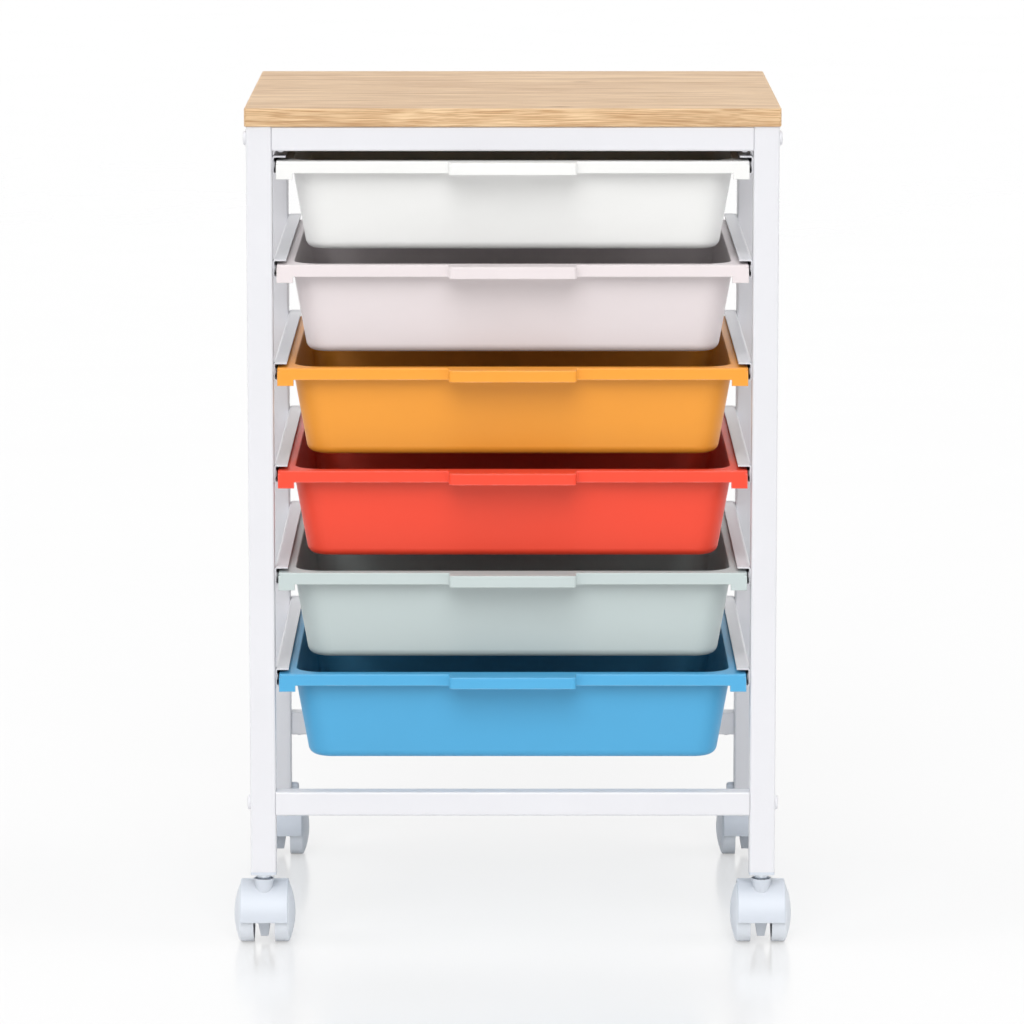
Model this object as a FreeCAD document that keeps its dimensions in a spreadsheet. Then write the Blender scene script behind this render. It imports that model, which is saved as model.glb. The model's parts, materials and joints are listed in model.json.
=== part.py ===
import FreeCAD
import Part
import Sketcher
import math
import os
from types import SimpleNamespace

# Rolling drawer cart: a white square tube frame under a wooden board, six moulded drawers that hang
# by their rims in folded sheet runners, and four hooded twin-wheel casters.
# Sizes are millimetres. X runs to the right, Y to the back and Z up, and the drawers pull towards -Y.
# The origin is on the floor under the middle of the cart's outline.

DIMENSIONS = {
    # Board
    "board_width": 394.5,
    "board_depth": 330.0,
    "board_thickness": 13.5,
    "board_overhang": 1.25,
    "board_corner_radius": 0.8,
    "edge_band": 1.5,
    "edge_band_radius": 0.8,
    # Square tube legs and top side rails
    "leg_size": 19.0,
    "leg_wall": 1.2,
    "leg_inner_radius": 0.6,
    "leg_foot_length": 43.1,
    # Rectangular tube crossbars
    "bar_height": 18.0,
    "bar_depth": 15.0,
    "bar_wall": 1.2,
    "bar_inner_radius": 0.4,
    # Folded sheet runners
    "runner_sheet": 1.2,
    "runner_flange": 10.0,
    "runner_inner_bend": 0.8,
    "runner_drop": 4.0,
    # Drawers
    "drawer_height": 67.0,
    "drawer_gap": 9.6,
    "drawer_back_gap": 15.5,
    "lowest_drawer_gap": 22.6,
    "drawer_wall": 2.2,
    "drawer_floor": 2.2,
    "bin_taper": 11.5,
    "bin_floor_corner": 16.0,
    "bin_corner_taper": 4.0,
    "bin_floor_edge": 4.8,
    "rim_height": 8.7,
    "rim_plate": 2.4,
    "rim_skirt": 2.0,
    "rim_side": 10.0,
    "rim_front": 8.0,
    "rim_corner_radius": 2.5,
    "rim_edge_radius": 0.8,
    "handle_width": 94.0,
    "handle_reach": 14.0,
    "handle_inner_corner": 1.0,
    "handle_root_radius": 1.5,
    "stop_width": 12.0,
    "stop_drop": 4.5,
    "stop_thickness": 4.5,
    # Running room of the drawers
    "slide_clearance": 0.3,
    "rim_headroom": 2.4,
    "rim_side_clearance": 1.8,
    # Casters
    "wheel_radius": 22.2,
    "wheel_inner_face": 8.0,
    "wheel_tread_width": 10.8,
    "wheel_edge": 1.2,
    "wheel_dome": 4.1,
    "wheel_shell": 2.6,
    "wheel_hub_wall": 3.5,
    "wheel_clearance": 0.8,
    "axle_radius": 3.0,
    "axle_reach": 8.5,
    "hood_width": 36.0,
    "hood_wall": 2.2,
    "hood_edge_drop": 3.2,
    "hood_side_radius": 1.2,
    "web_thickness": 13.0,
    "web_root_thickness": 9.8,
    "web_root_length": 30.0,
    "web_tip_thickness": 5.6,
    "web_tip_length": 16.0,
    "web_tip_height": 5.4,
    "boss_radius": 7.6,
    "boss_foot_radius": 2.4,
    "boss_rise": 3.6,
    "boss_depth": 26.0,
    "boss_recess": 1.2,
    "boss_recess_wall": 0.8,
    "caster_trail": 12.0,
    "stem_radius": 4.0,
    "stem_length": 33.0,
    "stem_seat": 20.0,
    "stem_tip_radius": 1.5,
    "collar_radius": 5.7,
    "collar_foot_radius": 4.9,
    "collar_rise": 3.7,
    "running_fit": 0.05,
    "swivel_gap": 0.3,
    "side_play": 0.5,
    # Caster sockets in the leg ends
    "socket_flange": 2.2,
    "socket_length": 40.0,
    "socket_clearance": 0.15,
    "nub_radius": 3.6,
    "nub_reach": 5.8,
    "nub_nose_radius": 2.4,
    # Fasteners
    "bolt_radius": 3.0,
    "bolt_head_radius": 5.5,
    "bolt_head_edge": 0.5,
    "bolt_head_crown": 1.8,
    "bolt_reach": 14.0,
    "bolt_room": 0.25,
    "insert_length": 20.0,
    "insert_clearance": 0.1,
    "lock_screw_radius": 1.5,
    "lock_screw_head_radius": 2.25,
    "lock_screw_head_edge": 0.3,
    "lock_screw_head_crown": 1.2,
    "lock_screw_inset": 6.3,
    "lock_screw_bite": 3.0,
    "rivet_radius": 1.6,
    "rivet_head_radius": 2.6,
    "rivet_head_edge": 0.3,
    "rivet_head_crown": 0.5,
    "rivet_tail": 0.8,
    "board_screw_radius": 2.0,
    "board_screw_head_radius": 4.0,
    "board_screw_head_edge": 0.8,
    "board_screw_head_crown": 1.4,
    "board_screw_bite": 9.5,
    "board_screw_spacing": 180.0,
    "board_screw_access": 5.0,
    "fastener_fit": 0.05,
}
DRAWER_COUNT = 6
LEFT, RIGHT = -1, 1
SIDES = {"left": LEFT, "right": RIGHT}
ENDS = {"front": -1, "rear": 1}
DEPTHWISE = FreeCAD.Vector(0, 1, 0)
UPRIGHT = FreeCAD.Vector(0, 0, 1)
# Each socket's nub points to the right as drawn; it faces backwards in front and inwards at the rear
NUB_TURNS = {"front": {"left": 90, "right": 90}, "rear": {"left": 0, "right": 180}}
HORIZONTAL_AXIS, VERTICAL_AXIS = -1, -2
ORIGIN_POINT = (-1, 1)
START, END, CENTRE = 1, 2, 3
UP = FreeCAD.Vector(0, 0, 1)
FULL_TURN = 360
QUARTER_TURN = 90
SAME_PLACE = 1e-3

doc = FreeCAD.newDocument("drawer_cart")
sheet = doc.addObject("Spreadsheet::Sheet", "dims")
for row, (alias, number) in enumerate(DIMENSIONS.items(), start=1):
    sheet.set(f"A{row}", alias)
    sheet.set(f"B{row}", str(number))
    sheet.setAlias(f"B{row}", alias)
doc.recompute()


class Size:
    """A length with its number and the spreadsheet formula that drives it."""

    def __init__(self, number, formula):
        self.number = number
        self.formula = formula

    @staticmethod
    def of(value):
        if isinstance(value, Size):
            return value
        return Size(float(value), f"({float(value)})")

    def __add__(self, other):
        other = Size.of(other)
        return Size(self.number + other.number, f"({self.formula} + {other.formula})")

    def __sub__(self, other):
        other = Size.of(other)
        return Size(self.number - other.number, f"({self.formula} - {other.formula})")

    def __mul__(self, factor):
        factor = Size.of(factor)
        return Size(self.number * factor.number, f"({self.formula} * {factor.formula})")

    def __truediv__(self, divisor):
        divisor = Size.of(divisor)
        return Size(self.number / divisor.number, f"({self.formula} / {divisor.formula})")

    def __neg__(self):
        return self * -1


size = SimpleNamespace(**{alias: Size(number, f"dims.{alias}") for alias, number in DIMENSIONS.items()})
NO_INSET = Size.of(0)

# Heights, from the floor up
hood_radius = size.wheel_radius + size.wheel_clearance + size.hood_wall
boss_top = size.wheel_radius + hood_radius + size.boss_rise
socket_bottom = boss_top + size.collar_rise + size.swivel_gap
leg_bottom = socket_bottom + size.socket_flange
low_bar_bottom = leg_bottom + size.leg_foot_length
lowest_drawer_bottom = low_bar_bottom + size.bar_height + size.lowest_drawer_gap
drawer_pitch = size.drawer_height + size.drawer_gap
top_rim = lowest_drawer_bottom + size.drawer_height + drawer_pitch * (DRAWER_COUNT - 1)
top_bar_bottom = top_rim + size.rim_headroom + size.runner_sheet + size.runner_drop
board_bottom = top_bar_bottom + size.bar_height
leg_length = board_bottom - leg_bottom
runner_height = size.rim_height + size.rim_headroom + size.slide_clearance + size.runner_sheet * 2
hood_foot = size.wheel_radius - size.hood_edge_drop
CROSSBARS = {"bottom": low_bar_bottom, "top": top_bar_bottom}

# Widths and depths
frame_width = size.board_width - size.board_overhang * 2
frame_depth = size.board_depth - size.board_overhang * 2
clear_width = frame_width - size.leg_size * 2
clear_depth = frame_depth - size.leg_size * 2
caster_overhang = size.caster_trail + hood_radius - size.leg_size / 2
frame_front = (size.handle_reach - frame_depth - caster_overhang) / 2
frame_middle = frame_front + frame_depth / 2
leg_x = (frame_width - size.leg_size) / 2
leg_y = (frame_depth - size.leg_size) / 2
bar_y = (frame_depth - size.bar_depth) / 2
rim_width = clear_width - size.runner_sheet * 2 - size.rim_side_clearance * 2
drawer_depth = frame_depth - size.drawer_back_gap
runner_inset = size.stop_thickness + size.slide_clearance


def rim_top(level):
    """Height of a drawer's rim, counted from 0 for the top drawer."""
    return top_rim - drawer_pitch * level


def runner_middle(level):
    """Height of the middle of a drawer's runners."""
    return rim_top(level) + size.rim_headroom + size.runner_sheet - runner_height / 2


def new_body(label):
    body = doc.addObject("PartDesign::Body", label)
    body.Label = label
    return body


def place(item, x, y, z):
    """Bind the place of a sub-part to sizes."""
    for axis, value in zip("xyz", (x, y, z)):
        item.setExpression(f"Placement.Base.{axis}", value.formula)


def turn(item, axis, degrees):
    item.Placement = FreeCAD.Placement(FreeCAD.Vector(), FreeCAD.Rotation(axis, degrees))


def new_sketch(body, name, plane, lift=NO_INSET):
    """A sketch on one of the body's own planes, lifted along the plane's normal."""
    sketch = body.newObject("Sketcher::SketchObject", name)
    support = next(item for item in body.Origin.OriginFeatures if item.Role == plane)
    sketch.AttachmentSupport = [(support, "")]
    sketch.MapMode = "FlatFace"
    sketch.setExpression("AttachmentOffset.Base.z", lift.formula)
    return sketch


def hold(sketch, kind, *references):
    sketch.addConstraint(Sketcher.Constraint(kind, *references))


def hold_size(sketch, kind, references, value):
    """Add a dimension to a sketch and bind it to its size."""
    index = sketch.addConstraint(Sketcher.Constraint(kind, *references, value.number))
    sketch.setExpression(f"Constraints[{index}]", value.formula)


def pin(sketch, geometry, point, x, y):
    """Fix a sketch point at sizes measured from the sketch's origin, or on an axis where a plain 0 is given."""
    for kind, axis, value in (("DistanceX", VERTICAL_AXIS, x), ("DistanceY", HORIZONTAL_AXIS, y)):
        if isinstance(value, Size):
            hold_size(sketch, kind, (*ORIGIN_POINT, geometry, point), value)
        else:
            hold(sketch, "PointOnObject", geometry, point, axis)


def flat(x, y):
    return FreeCAD.Vector(Size.of(x).number, Size.of(y).number, 0)


def add_circle(sketch, x, y, radius):
    circle = sketch.addGeometry(Part.Circle(flat(x, y), UP, radius.number))
    pin(sketch, circle, CENTRE, x, y)
    hold_size(sketch, "Radius", (circle,), radius)


def add_arc(sketch, centre, radius, first, last):
    """Add an arc that runs anticlockwise from its first point to its last."""
    angles = [math.atan2((point - centre).y, (point - centre).x) for point in (first, last)]
    return sketch.addGeometry(Part.ArcOfCircle(Part.Circle(centre, UP, radius), *angles))


def add_outline(sketch, corners):
    """Draw a closed outline through (x, y) or (x, y, radius) corners, with arcs where a radius is given."""
    points = [flat(x, y) for x, y, *_ in corners]
    count = len(corners)
    arrivals, leavings = [], []
    for index, (_, _, *radius) in enumerate(corners):
        point = points[index]
        back = (points[index - 1] - point).normalize()
        ahead = (points[(index + 1) % count] - point).normalize()
        reach = radius[0].number / math.tan(back.getAngle(ahead) / 2) if radius else 0
        arrivals.append(point + back * reach)
        leavings.append(point + ahead * reach)
    lines = []
    for index in range(count):
        segment = Part.LineSegment(leavings[index], arrivals[(index + 1) % count])
        lines.append(sketch.addGeometry(segment))
    for index, (x, y, *radius) in enumerate(corners):
        before, after = lines[index - 1], lines[index]
        if not radius:
            hold(sketch, "Coincident", before, END, after, START)
            pin(sketch, after, START, x, y)
            continue
        add_corner_arc(sketch, arrivals[index], leavings[index], points[index], before, after, radius[0])
        corner = sketch.addGeometry(Part.Point(points[index]), True)
        pin(sketch, corner, START, x, y)
        hold(sketch, "PointOnObject", corner, START, before)
        hold(sketch, "PointOnObject", corner, START, after)


def add_corner_arc(sketch, arrival, leaving, corner, before, after, radius):
    """Round one corner of an outline with an arc tangent to the lines before and after it."""
    middle = (arrival + leaving) / 2
    half_chord = (arrival - leaving).Length / 2
    depth = math.sqrt(radius.number ** 2 - half_chord ** 2)
    centre = middle + (middle - corner).normalize() * depth
    left_turn = (corner - arrival).cross(leaving - corner).z > 0
    first, last = (arrival, leaving) if left_turn else (leaving, arrival)
    near, far = (START, END) if left_turn else (END, START)
    arc = add_arc(sketch, centre, radius.number, first, last)
    hold(sketch, "Tangent", before, END, arc, near)
    hold(sketch, "Tangent", arc, far, after, START)
    hold_size(sketch, "Radius", (arc,), radius)


def rectangle(x_low, x_high, y_low, y_high, *radius):
    """Corners of an upright rectangle, anticlockwise, rounded where a radius is given."""
    places = ((x_low, y_low), (x_high, y_low), (x_high, y_high), (x_low, y_high))
    return [(*corner, *radius) for corner in places]


def centred_rectangle(width, height, radius):
    return rectangle(-width / 2, width / 2, -height / 2, height / 2, radius)


def pad(body, sketch, length, reverse=False):
    feature = body.newObject("PartDesign::Pad", sketch.Name + "_pad")
    feature.Profile = sketch
    feature.Reversed = reverse
    feature.setExpression("Length", length.formula)


def cut(body, sketch, length, reverse=False):
    """Cut a sketch into the body and stop if it takes nothing away."""
    doc.recompute()
    before = body.Shape.Volume
    feature = body.newObject("PartDesign::Pocket", sketch.Name + "_pocket")
    feature.Profile = sketch
    feature.Reversed = reverse
    feature.setExpression("Length", length.formula)
    doc.recompute()
    if body.Shape.Volume > before - SAME_PLACE:
        raise RuntimeError(f"{body.Label}: {sketch.Name} cuts nothing")


def revolve(body, sketch, axis):
    feature = body.newObject("PartDesign::Revolution", sketch.Name + "_turned")
    feature.Profile = sketch
    feature.ReferenceAxis = (sketch, [axis])
    feature.Angle = FULL_TURN


def loft(body, kind, name, first, last):
    feature = body.newObject(f"PartDesign::{kind}", name)
    feature.Profile = first
    feature.Sections = [last]
    feature.Ruled = True


def fillet(body, name, radius, wanted):
    """Round the edges of the body that the wanted test picks."""
    doc.recompute()
    base = body.Tip
    picked = [f"Edge{index}" for index, edge in enumerate(base.Shape.Edges, start=1) if wanted(edge)]
    if not picked:
        raise RuntimeError(f"{body.Label}: {name} finds no edge")
    feature = body.newObject("PartDesign::Fillet", name)
    feature.Base = (base, picked)
    feature.setExpression("Radius", radius.formula)
    doc.recompute()


def lies_at(edge, axis, position):
    """True where an edge lies in the plane at a position along an axis."""
    low = getattr(edge.BoundBox, axis + "Min")
    high = getattr(edge.BoundBox, axis + "Max")
    return max(abs(low - position), abs(high - position)) < SAME_PLACE


def has_radius(edge, radius):
    return abs(getattr(edge.Curve, "Radius", 0) - radius) < SAME_PLACE


def tube_section(sketch, width, height, wall, inner_radius):
    add_outline(sketch, centred_rectangle(width, height, inner_radius + wall))
    add_outline(sketch, centred_rectangle(width - wall * 2, height - wall * 2, inner_radius))


def board_core_outline():
    width = size.board_width - size.edge_band * 2
    depth = size.board_depth - size.edge_band * 2
    return centred_rectangle(width, depth, size.board_corner_radius)


def make_board():
    """The wooden board inside its edge band, with pilot holes for its screws in the underside."""
    body = new_body("top_board")
    plan = new_sketch(body, "board_plan", "XY_Plane")
    add_outline(plan, board_core_outline())
    pad(body, plan, size.board_thickness)
    pilots = new_sketch(body, "board_pilots", "XY_Plane")
    for side in SIDES.values():
        for end in ENDS.values():
            add_circle(pilots, leg_x * side, size.board_screw_spacing / 2 * end,
                       size.board_screw_radius + size.fastener_fit)
    cut(body, pilots, size.board_screw_bite + size.fastener_fit, reverse=True)
    place(body, NO_INSET, frame_middle, board_bottom)
    return body


def make_edge_band():
    """The band round the board's four edges, with rounded outer arrises."""
    body = new_body("edge_band")
    plan = new_sketch(body, "band_plan", "XY_Plane")
    outer_radius = size.board_corner_radius + size.edge_band
    add_outline(plan, centred_rectangle(size.board_width, size.board_depth, outer_radius))
    add_outline(plan, board_core_outline())
    pad(body, plan, size.board_thickness)
    core_x = (size.board_width / 2 - size.edge_band).number
    core_y = (size.board_depth / 2 - size.edge_band).number

    def on_outside(edge):
        box = edge.BoundBox
        outside = max(abs(box.XMin), abs(box.XMax)) > core_x + SAME_PLACE
        outside = outside or max(abs(box.YMin), abs(box.YMax)) > core_y + SAME_PLACE
        return outside and (lies_at(edge, "Z", 0) or lies_at(edge, "Z", size.board_thickness.number))

    fillet(body, "band_arrises", size.edge_band_radius, on_outside)
    place(body, NO_INSET, frame_middle, board_bottom)
    return body


def make_leg(end, side):
    """A square tube leg, with bolt holes for the crossbars and rivet holes for the runners."""
    body = new_body(f"leg_{end}_{side}")
    section = new_sketch(body, "leg_section", "XY_Plane")
    tube_section(section, size.leg_size, size.leg_size, size.leg_wall, size.leg_inner_radius)
    pad(body, section, leg_length)
    holes = new_sketch(body, "leg_bolt_holes", "YZ_Plane", -size.leg_size)
    for bar_bottom in CROSSBARS.values():
        height = bar_bottom + size.bar_height / 2 - leg_bottom
        add_circle(holes, (bar_y - leg_y) * ENDS[end], height, size.bolt_radius + size.bolt_room)
    cut(body, holes, size.leg_size * 2, reverse=True)
    rivets = new_sketch(body, "leg_rivet_holes", "YZ_Plane")
    for level in range(DRAWER_COUNT):
        add_circle(rivets, 0, runner_middle(level) - leg_bottom, size.rivet_radius + size.fastener_fit)
    cut(body, rivets, size.leg_size, reverse=SIDES[side] == LEFT)
    place(body, leg_x * SIDES[side], frame_middle + leg_y * ENDS[end], leg_bottom)
    return body


def make_crossbar(end, name):
    """A rectangular tube bar between two legs, flush with them, with a screw hole under each end."""
    body = new_body(f"crossbar_{end}_{name}")
    section = new_sketch(body, "bar_section", "YZ_Plane", -clear_width / 2)
    tube_section(section, size.bar_depth, size.bar_height, size.bar_wall, size.bar_inner_radius)
    pad(body, section, clear_width)
    holes = new_sketch(body, "bar_screw_holes", "XY_Plane", -size.bar_height)
    for side in SIDES.values():
        add_circle(holes, (clear_width / 2 - size.lock_screw_inset) * side, 0,
                   size.lock_screw_radius + size.fastener_fit)
    cut(body, holes, size.bar_height, reverse=True)
    place(body, NO_INSET, frame_middle + bar_y * ENDS[end], CROSSBARS[name] + size.bar_height / 2)
    return body


def make_side_rail(side):
    """The top rail between a front and a rear leg, with screw holes above and access holes below."""
    body = new_body(f"side_rail_{side}")
    section = new_sketch(body, "rail_section", "XZ_Plane", -clear_depth / 2)
    tube_section(section, size.leg_size, size.leg_size, size.leg_wall, size.leg_inner_radius)
    pad(body, section, clear_depth)
    access = new_sketch(body, "rail_access_holes", "XY_Plane", -size.leg_size)
    bores = new_sketch(body, "rail_screw_holes", "XY_Plane")
    for end in ENDS.values():
        along = size.board_screw_spacing / 2 * end
        add_circle(access, 0, along, size.board_screw_access)
        add_circle(bores, 0, along, size.board_screw_radius + size.fastener_fit)
    cut(body, access, size.leg_size, reverse=True)
    cut(body, bores, size.leg_size, reverse=True)
    place(body, leg_x * SIDES[side], frame_middle, board_bottom - size.leg_size / 2)
    return body


def make_runner(side, level):
    """A folded sheet channel on the inner faces of two legs, open towards the drawer."""
    body = new_body(f"runner_{side}_{level + 1}")
    inward = -SIDES[side]
    outer_bend = size.runner_inner_bend + size.runner_sheet
    foot, head = -runner_height / 2, runner_height / 2
    lip, web = size.runner_flange * inward, size.runner_sheet * inward
    section = new_sketch(body, "runner_section", "XZ_Plane", -(frame_depth / 2 - runner_inset))
    add_outline(section, [
        (lip, foot),
        (lip, foot + size.runner_sheet),
        (web, foot + size.runner_sheet, size.runner_inner_bend),
        (web, head - size.runner_sheet, size.runner_inner_bend),
        (lip, head - size.runner_sheet),
        (lip, head),
        (0, head, outer_bend),
        (0, foot, outer_bend),
    ])
    pad(body, section, frame_depth - runner_inset * 2)
    holes = new_sketch(body, "runner_rivet_holes", "YZ_Plane")
    for end in ENDS.values():
        add_circle(holes, leg_y * end, 0, size.rivet_radius + size.fastener_fit)
    cut(body, holes, size.runner_sheet * 2, reverse=inward > 0)
    place(body, clear_width / 2 * SIDES[side], frame_middle, runner_middle(level))
    return body


def rim_outline(inset, corner, lip_corner, root):
    """The drawer rim with its pull lip seen from above, drawn in by an inset."""
    half = rim_width / 2 - inset
    lip_half = size.handle_width / 2 - inset
    lip_front = inset - size.handle_reach
    back = drawer_depth - inset
    return [
        (-half, inset, corner),
        (-lip_half, inset, root),
        (-lip_half, lip_front, lip_corner),
        (lip_half, lip_front, lip_corner),
        (lip_half, inset, root),
        (half, inset, corner),
        (half, back, corner),
        (-half, back, corner),
    ]


def outer_rim_outline():
    lip_corner = size.handle_inner_corner + size.rim_skirt
    return rim_outline(NO_INSET, size.rim_corner_radius, lip_corner, size.handle_root_radius)


def inner_rim_outline():
    root = size.handle_root_radius + size.rim_skirt
    return rim_outline(size.rim_skirt, size.handle_inner_corner, size.handle_inner_corner, root)


def bin_outline(inset, radius):
    """The bin seen from above, drawn in from its mouth by an inset."""
    half = rim_width / 2 - size.rim_side - inset
    front = size.rim_front + inset
    return rectangle(-half, half, front, drawer_depth - front, radius)


def make_drawer(level):
    """A moulded drawer: a tapered bin, a skirted rim that runs in the channels, a pull lip and two stops."""
    body = new_body(f"drawer_{level + 1}")
    plate = new_sketch(body, "rim_plate_plan", "XY_Plane")
    add_outline(plate, outer_rim_outline())
    pad(body, plate, size.rim_plate, reverse=True)
    skirt = new_sketch(body, "rim_skirt_plan", "XY_Plane")
    add_outline(skirt, outer_rim_outline())
    add_outline(skirt, inner_rim_outline())
    pad(body, skirt, size.rim_height, reverse=True)
    stops = new_sketch(body, "stop_face", "XZ_Plane")
    outer, inner = rim_width / 2, rim_width / 2 - size.stop_width
    for low, high in ((-outer, -inner), (inner, outer)):
        add_outline(stops, rectangle(low, high, -size.rim_height - size.stop_drop, -size.rim_plate))
    pad(body, stops, size.stop_thickness, reverse=True)
    wall, floor = size.drawer_wall, size.drawer_floor
    floor_corner = size.bin_floor_corner
    mouth_corner = floor_corner + size.bin_corner_taper
    mouth = new_sketch(body, "bin_mouth", "XY_Plane")
    add_outline(mouth, bin_outline(NO_INSET, mouth_corner + wall))
    base = new_sketch(body, "bin_base", "XY_Plane", -size.drawer_height)
    add_outline(base, bin_outline(size.bin_taper, floor_corner + wall))
    loft(body, "AdditiveLoft", "bin_shell", mouth, base)
    base_height = -size.drawer_height.number
    fillet(body, "bin_base_edge", size.bin_floor_edge + wall, lambda edge: lies_at(edge, "Z", base_height))
    hollow_mouth = new_sketch(body, "hollow_mouth", "XY_Plane")
    add_outline(hollow_mouth, bin_outline(wall, mouth_corner))
    hollow_base = new_sketch(body, "hollow_base", "XY_Plane", floor - size.drawer_height)
    add_outline(hollow_base, bin_outline(size.bin_taper + wall, floor_corner))
    loft(body, "SubtractiveLoft", "bin_hollow", hollow_mouth, hollow_base)
    floor_height = base_height + floor.number
    fillet(body, "bin_floor_edge", size.bin_floor_edge, lambda edge: lies_at(edge, "Z", floor_height))
    fillet(body, "rim_edges", size.rim_edge_radius, lambda edge: lies_at(edge, "Z", 0))
    place(body, NO_INSET, frame_front, rim_top(level))
    return body


def make_socket(end, side):
    """The plastic plug in a leg's end that holds a caster's stem, with a rounded nub on one side."""
    body = new_body(f"caster_socket_{end}_{side}")
    leg_face, gap = size.leg_size / 2, size.socket_clearance
    flange = new_sketch(body, "socket_flange_plan", "XY_Plane", -size.socket_flange)
    add_outline(flange, centred_rectangle(size.leg_size, size.leg_size, size.leg_inner_radius + size.leg_wall))
    pad(body, flange, size.socket_flange)
    plug = new_sketch(body, "socket_plug_plan", "XY_Plane")
    plug_size = size.leg_size - size.leg_wall * 2 - gap * 2
    add_outline(plug, centred_rectangle(plug_size, plug_size, size.leg_inner_radius))
    pad(body, plug, size.socket_length)
    nub = new_sketch(body, "socket_nub_face", "YZ_Plane", leg_face + gap)
    add_circle(nub, 0, 0, size.nub_radius)
    pad(body, nub, size.nub_reach - gap)
    nose = (leg_face + size.nub_reach).number
    fillet(body, "socket_nub_nose", size.nub_nose_radius, lambda edge: lies_at(edge, "X", nose))
    neck = new_sketch(body, "socket_nub_neck", "XZ_Plane", -size.nub_radius)
    add_outline(neck, rectangle(leg_face, leg_face + gap * 2, -size.socket_flange, -gap))
    pad(body, neck, size.nub_radius * 2)
    bore = new_sketch(body, "socket_bore", "XY_Plane", -size.socket_flange)
    add_circle(bore, 0, 0, size.stem_radius + size.running_fit)
    cut(body, bore, size.socket_flange + size.socket_length, reverse=True)
    turn(body, UPRIGHT, NUB_TURNS[end][side])
    place(body, leg_x * SIDES[side], frame_middle + leg_y * ENDS[end], leg_bottom)
    return body


def add_arch(sketch, radii):
    """Draw an arch about the axle, closed along the hood's foot: a band for two radii, filled for one."""
    middle, height = size.caster_trail, size.wheel_radius
    drop = (hood_foot - height).number
    ends = []
    for radius in radii:
        half = math.sqrt(radius.number ** 2 - drop ** 2)
        rear, front = flat(middle + half, hood_foot), flat(middle - half, hood_foot)
        arc = add_arc(sketch, flat(middle, height), radius.number, rear, front)
        pin(sketch, arc, CENTRE, middle, height)
        hold_size(sketch, "Radius", (arc,), radius)
        for point in (START, END):
            hold_size(sketch, "DistanceY", (*ORIGIN_POINT, arc, point), hood_foot)
        ends += [(arc, START, rear), (arc, END, front)]
    pairs = [(ends[0], ends[1])] if len(radii) == 1 else [(ends[0], ends[2]), (ends[1], ends[3])]
    for (arc_a, point_a, place_a), (arc_b, point_b, place_b) in pairs:
        line = sketch.addGeometry(Part.LineSegment(place_a, place_b))
        hold(sketch, "Coincident", line, START, arc_a, point_a)
        hold(sketch, "Coincident", line, END, arc_b, point_b)


def tongue_section(thickness, length):
    """The section of the web's tongue, centred on the axle."""
    middle = size.caster_trail
    return rectangle(-thickness / 2, thickness / 2, middle - length / 2, middle + length / 2)


def place_caster(body, end, side):
    """Stand a caster piece, drawn about its stem's axis at floor level, under its leg."""
    place(body, leg_x * SIDES[side], frame_middle + leg_y * ENDS[end], NO_INSET)


def make_hood(end, side):
    """A caster's moulded body: a round hood over both wheels, a web between them and a stem boss in front."""
    body = new_body(f"caster_hood_{end}_{side}")
    shell = new_sketch(body, "hood_section", "YZ_Plane", -size.hood_width / 2)
    add_arch(shell, (hood_radius, hood_radius - size.hood_wall))
    pad(body, shell, size.hood_width)
    side_face = (size.hood_width / 2).number

    def on_outer_side(edge):
        at_side = lies_at(edge, "X", side_face) or lies_at(edge, "X", -side_face)
        return at_side and has_radius(edge, hood_radius.number)

    fillet(body, "hood_sides", size.hood_side_radius, on_outer_side)
    web = new_sketch(body, "web_section", "YZ_Plane", -size.web_thickness / 2)
    add_arch(web, (hood_radius - size.hood_wall / 2,))
    pad(body, web, size.web_thickness)
    root = new_sketch(body, "tongue_root", "XY_Plane", hood_foot)
    add_outline(root, tongue_section(size.web_root_thickness, size.web_root_length))
    tip = new_sketch(body, "tongue_tip", "XY_Plane", size.web_tip_height)
    add_outline(tip, tongue_section(size.web_tip_thickness, size.web_tip_length))
    loft(body, "AdditiveLoft", "web_tongue", root, tip)
    mouth = new_sketch(body, "boss_mouth", "XY_Plane", boss_top)
    add_circle(mouth, 0, 0, size.boss_radius)
    foot = new_sketch(body, "boss_foot", "XY_Plane", boss_top - size.boss_depth)
    add_circle(foot, 0, 0, size.boss_foot_radius)
    loft(body, "AdditiveLoft", "stem_boss", mouth, foot)
    recess = new_sketch(body, "collar_recess", "XY_Plane", boss_top)
    add_circle(recess, 0, 0, size.boss_radius - size.boss_recess_wall)
    cut(body, recess, size.boss_recess)
    bore = new_sketch(body, "stem_bore", "XY_Plane", boss_top)
    add_circle(bore, 0, 0, size.stem_radius + size.fastener_fit)
    cut(body, bore, size.stem_seat + size.fastener_fit)
    axle = new_sketch(body, "axle_bore", "YZ_Plane", -size.web_thickness)
    add_circle(axle, size.caster_trail, size.wheel_radius, size.axle_radius + size.fastener_fit)
    cut(body, axle, size.web_thickness * 2, reverse=True)
    place_caster(body, end, side)
    return body


def turned_piece(body, name, corners):
    """Turn a profile of (along, radius) corners about the body's Z axis."""
    profile = new_sketch(body, name, "XZ_Plane")
    add_outline(profile, [(radius, along, *rounding) for along, radius, *rounding in corners])
    revolve(body, profile, "V_Axis")


def make_stem(end, side):
    """A caster's steel stem: a pin seated in the hood's boss, a collar and the pin that turns in the socket."""
    body = new_body(f"caster_stem_{end}_{side}")
    collar_bottom = boss_top - size.boss_recess
    collar_top = boss_top + size.collar_rise
    top = socket_bottom + size.stem_length
    turned_piece(body, "stem_profile", [
        (boss_top - size.stem_seat, 0),
        (boss_top - size.stem_seat, size.stem_radius),
        (collar_bottom, size.stem_radius),
        (collar_bottom, size.collar_foot_radius),
        (collar_top, size.collar_radius),
        (collar_top, size.stem_radius),
        (top, size.stem_radius, size.stem_tip_radius),
        (top, 0),
    ])
    place_caster(body, end, side)
    return body


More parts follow.
